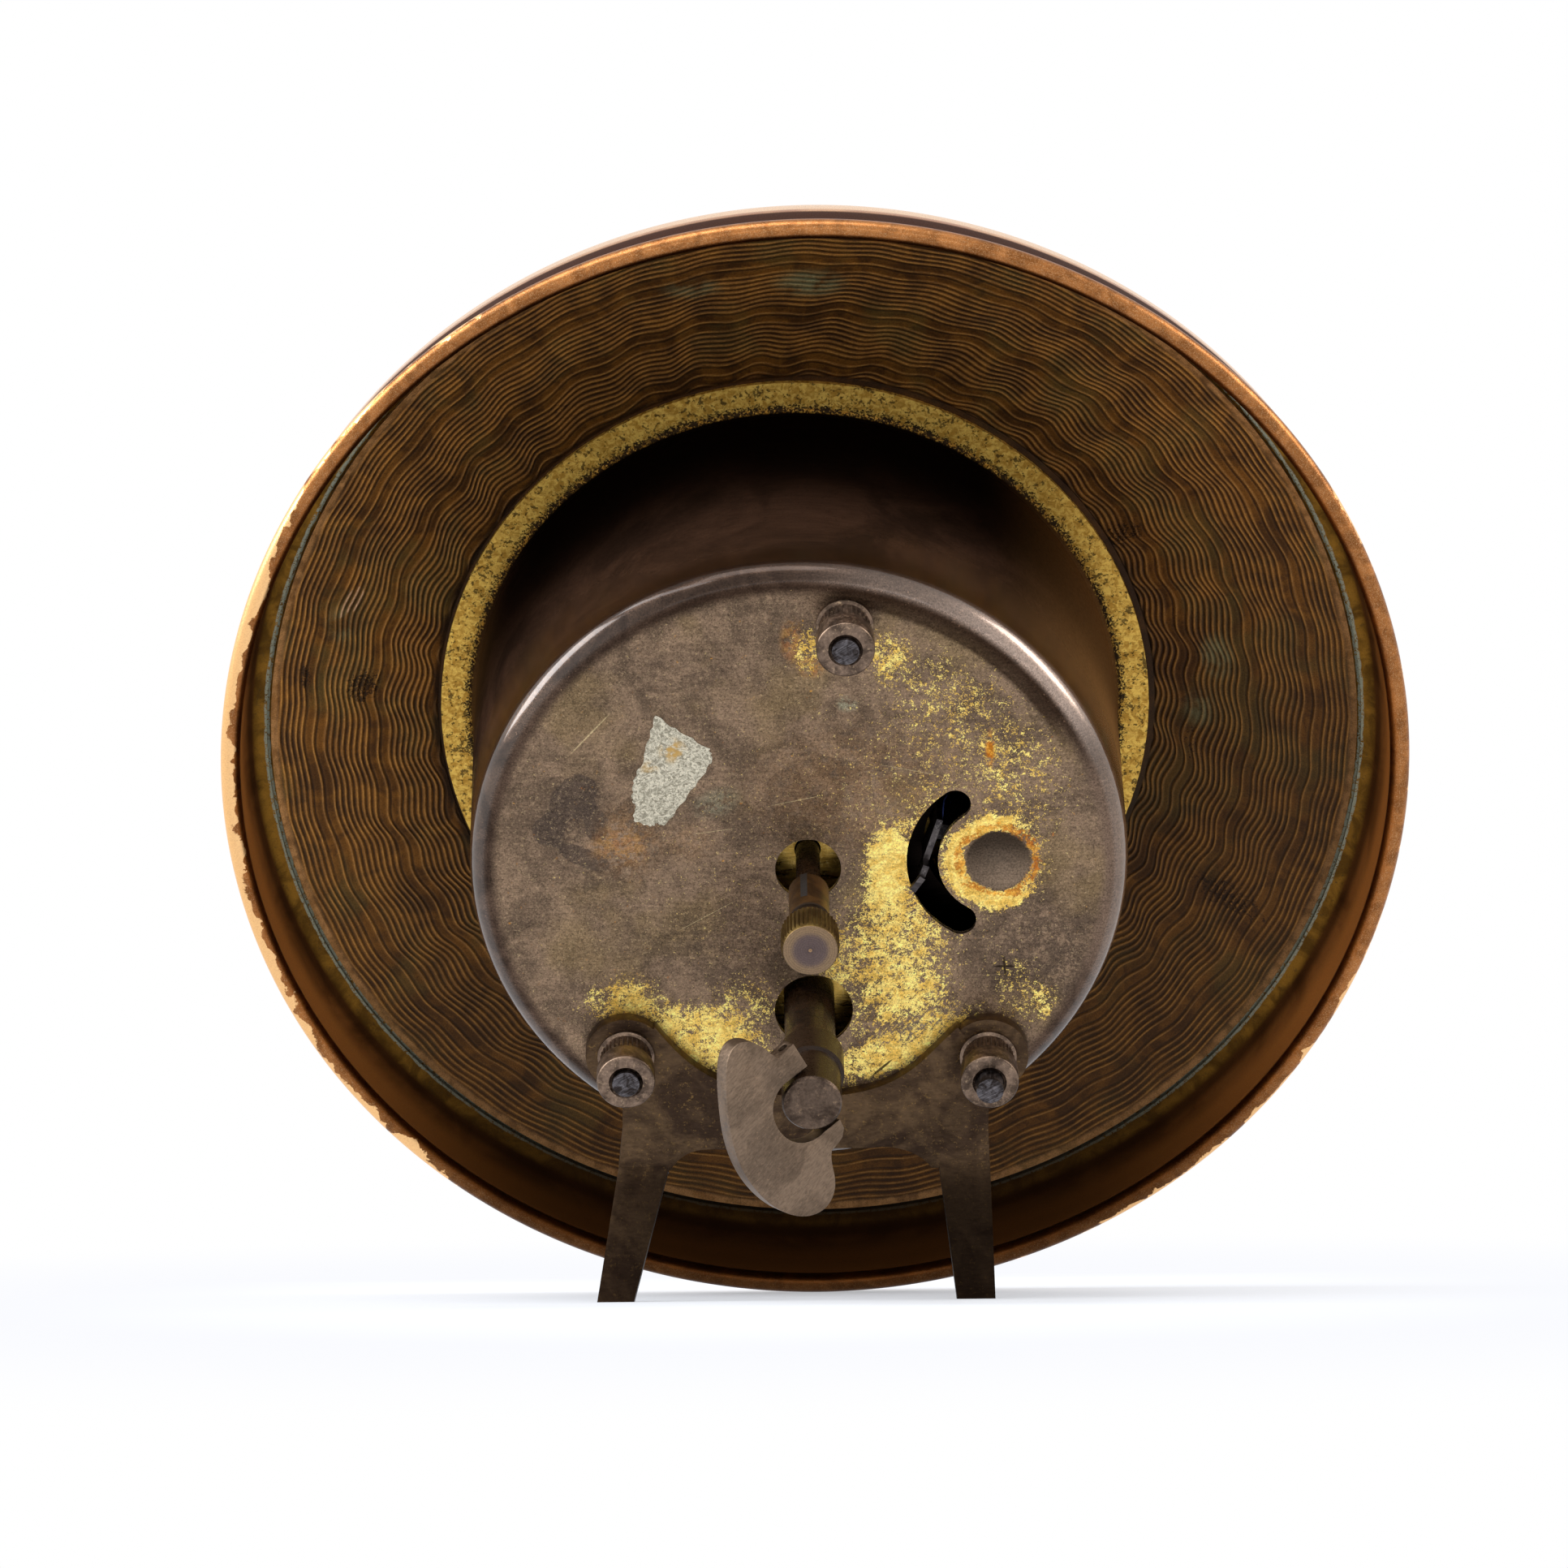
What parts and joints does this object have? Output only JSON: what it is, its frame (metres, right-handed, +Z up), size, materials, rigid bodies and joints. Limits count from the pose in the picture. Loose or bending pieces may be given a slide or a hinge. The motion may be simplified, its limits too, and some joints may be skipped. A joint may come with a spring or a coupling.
{
  "type": "table clock",
  "caption": "Round leaning table clock: spun rim, engine-turned plate, cup-shaped movement case, two-legged foot, rear winder and setting knob.",
  "frame": {"origin": "centre of the bounding box's base, on the table", "axes": "+Z up, the dial looks toward -Y and leans back, +X is the right of someone who looks at the dial"},
  "size_m": [0.0952, 0.059, 0.0866],
  "materials": {
    "copper": "spun copper-coloured sheet, browned, rubbed bright at the edge",
    "browned_plate": "engine-turned brass sheet, browned",
    "worn_brass": "drawn brass, spotted brown",
    "turned_brass": "turned brass, aged",
    "movement_brass": "satin brass",
    "dark_steel": "aged steel",
    "steel": "polished steel",
    "blued_steel": "blued steel",
    "dial_paint": "pale matt dial",
    "hand_paint": "black",
    "crystal": "clear domed glass"
  },
  "bodies": {
    "case": {"spun_rim": "copper", "guilloche_plate": "browned_plate", "dial_bezel": "turned_brass", "crystal": "crystal", "crystal_spacer": "turned_brass", "dial": "dial_paint", "case_cup": "worn_brass", "pillar_top": "dark_steel", "pillar_left": "dark_steel", "pillar_right": "dark_steel", "spacer_top": "movement_brass", "spacer_left": "movement_brass", "spacer_right": "movement_brass", "nut_top": "turned_brass", "nut_left": "turned_brass", "nut_right": "turned_brass", "foot_bracket": "worn_brass", "front_plate": "movement_brass", "rear_plate": "movement_brass", "minute_post": "steel", "click_screw": "steel", "click_spring": "steel", "hairspring": "blued_steel", "hairspring_stud": "steel", "balance_bearing": "movement_brass"},
    "hand_shaft": {"hand_arbor": "steel", "hand_knob": "turned_brass", "cannon_pinion": "steel", "minute_hand": "hand_paint"},
    "minute_wheel": {"minute_wheel": "movement_brass"},
    "hour_wheel": {"hour_wheel": "movement_brass", "hour_hand": "hand_paint"},
    "winder": {"winding_arbor": "dark_steel", "ratchet_wheel": "steel", "winding_key": "dark_steel", "wing_pin": "dark_steel"},
    "wing": {"winding_wing": "dark_steel"},
    "barrel": {"barrel_drum": "movement_brass", "barrel_cover": "movement_brass", "mainspring": "blued_steel"},
    "intermediate": {"intermediate_arbor": "steel", "intermediate_wheel": "movement_brass"},
    "centre": {"centre_pinion": "steel", "centre_wheel": "movement_brass"},
    "third": {"third_arbor": "steel", "third_wheel": "movement_brass"},
    "fourth": {"fourth_arbor": "steel", "fourth_wheel": "movement_brass"},
    "escape": {"escape_arbor": "steel", "escape_wheel": "movement_brass"},
    "lever": {"pallet_lever": "steel", "pallet_arbor": "steel"},
    "balance": {"balance_wheel": "movement_brass", "balance_staff": "steel"},
    "click": {"click": "steel"},
    "regulator": {"regulator_index": "steel"}
  },
  "joints": [
    {"name": "hand_setting", "type": "hinge", "parent": "case", "child": "hand_shaft", "pos_m": [0.0008, 0.02395, 0.0294], "axis": [0, 0.891, -0.454], "continuous": true},
    {"name": "minute_wheel_spin", "type": "hinge", "parent": "case", "child": "minute_wheel", "pos_m": [0.00757, -0.01191, 0.04491], "axis": [0, 0.891, -0.454], "continuous": true},
    {"name": "hour_spin", "type": "hinge", "parent": "case", "child": "hour_wheel", "pos_m": [0.0008, -0.01258, 0.04802], "axis": [0, 0.891, -0.454], "continuous": true},
    {"name": "winding", "type": "hinge", "parent": "case", "child": "winder", "pos_m": [0.00075, 0.01828, 0.01827], "axis": [0, 0.891, -0.454], "continuous": true},
    {"name": "wing_fold", "type": "hinge", "parent": "winder", "child": "wing", "pos_m": [0.00075, 0.02211, 0.01631], "axis": [0.4695, 0.4008, 0.7867], "range_deg": [-30, 60]},
    {"name": "fourth_spin", "type": "hinge", "parent": "case", "child": "fourth", "pos_m": [-0.00021, 0.00437, 0.05265], "axis": [0, 0.891, -0.454], "continuous": true},
    {"name": "third_spin", "type": "hinge", "parent": "case", "child": "third", "pos_m": [0.00454, -0.00073, 0.04925], "axis": [0, 0.891, -0.454], "continuous": true},
    {"name": "centre_spin", "type": "hinge", "parent": "case", "child": "centre", "pos_m": [0.0008, 0.00792, 0.03758], "axis": [0, 0.891, -0.454], "continuous": true},
    {"name": "intermediate_spin", "type": "hinge", "parent": "case", "child": "intermediate", "pos_m": [0.00829, 0.00486, 0.03597], "axis": [0, 0.891, -0.454], "continuous": true},
    {"name": "barrel_spin", "type": "hinge", "parent": "case", "child": "barrel", "pos_m": [0.00075, -0.00667, 0.03098], "axis": [0, 0.891, -0.454], "continuous": true},
    {"name": "escape_spin", "type": "hinge", "parent": "case", "child": "escape", "pos_m": [-0.00687, 0.00669, 0.05058], "axis": [0, 0.891, -0.454], "continuous": true},
    {"name": "lever_swing", "type": "hinge", "parent": "case", "child": "lever", "pos_m": [-0.00991, 0.00383, 0.04717], "axis": [0, 0.891, -0.454], "range_deg": [-5, 5]},
    {"name": "balance_swing", "type": "hinge", "parent": "case", "child": "balance", "pos_m": [-0.01415, 0.00464, 0.03995], "axis": [0, 0.891, -0.454], "range_deg": [-270, 270], "stiffness_Nm_per_rad": 0.000002, "deforming": ["hairspring"]},
    {"name": "click_lift", "type": "hinge", "parent": "case", "child": "click", "pos_m": [-0.00411, 0.00093, 0.02012], "axis": [0, 0.891, -0.454], "range_deg": [-12, 0], "stiffness_Nm_per_rad": 0.0001, "springref_deg": 5.73},
    {"name": "regulator_turn", "type": "hinge", "parent": "case", "child": "regulator", "pos_m": [-0.01415, 0.01212, 0.03614], "axis": [0, 0.891, -0.454], "range_deg": [-25, 25]}
  ],
  "couplings": [
    {"joint": "third_spin", "follows": "fourth_spin", "ratio": -0.125},
    {"joint": "centre_spin", "follows": "fourth_spin", "ratio": 0.016667},
    {"joint": "intermediate_spin", "follows": "fourth_spin", "ratio": -0.0038462},
    {"joint": "barrel_spin", "follows": "fourth_spin", "ratio": 0.00056561},
    {"joint": "escape_spin", "follows": "fourth_spin", "ratio": -8},
    {"joint": "minute_wheel_spin", "follows": "hand_setting", "ratio": -0.33333},
    {"joint": "hour_spin", "follows": "hand_setting", "ratio": 0.083333}
  ]
}
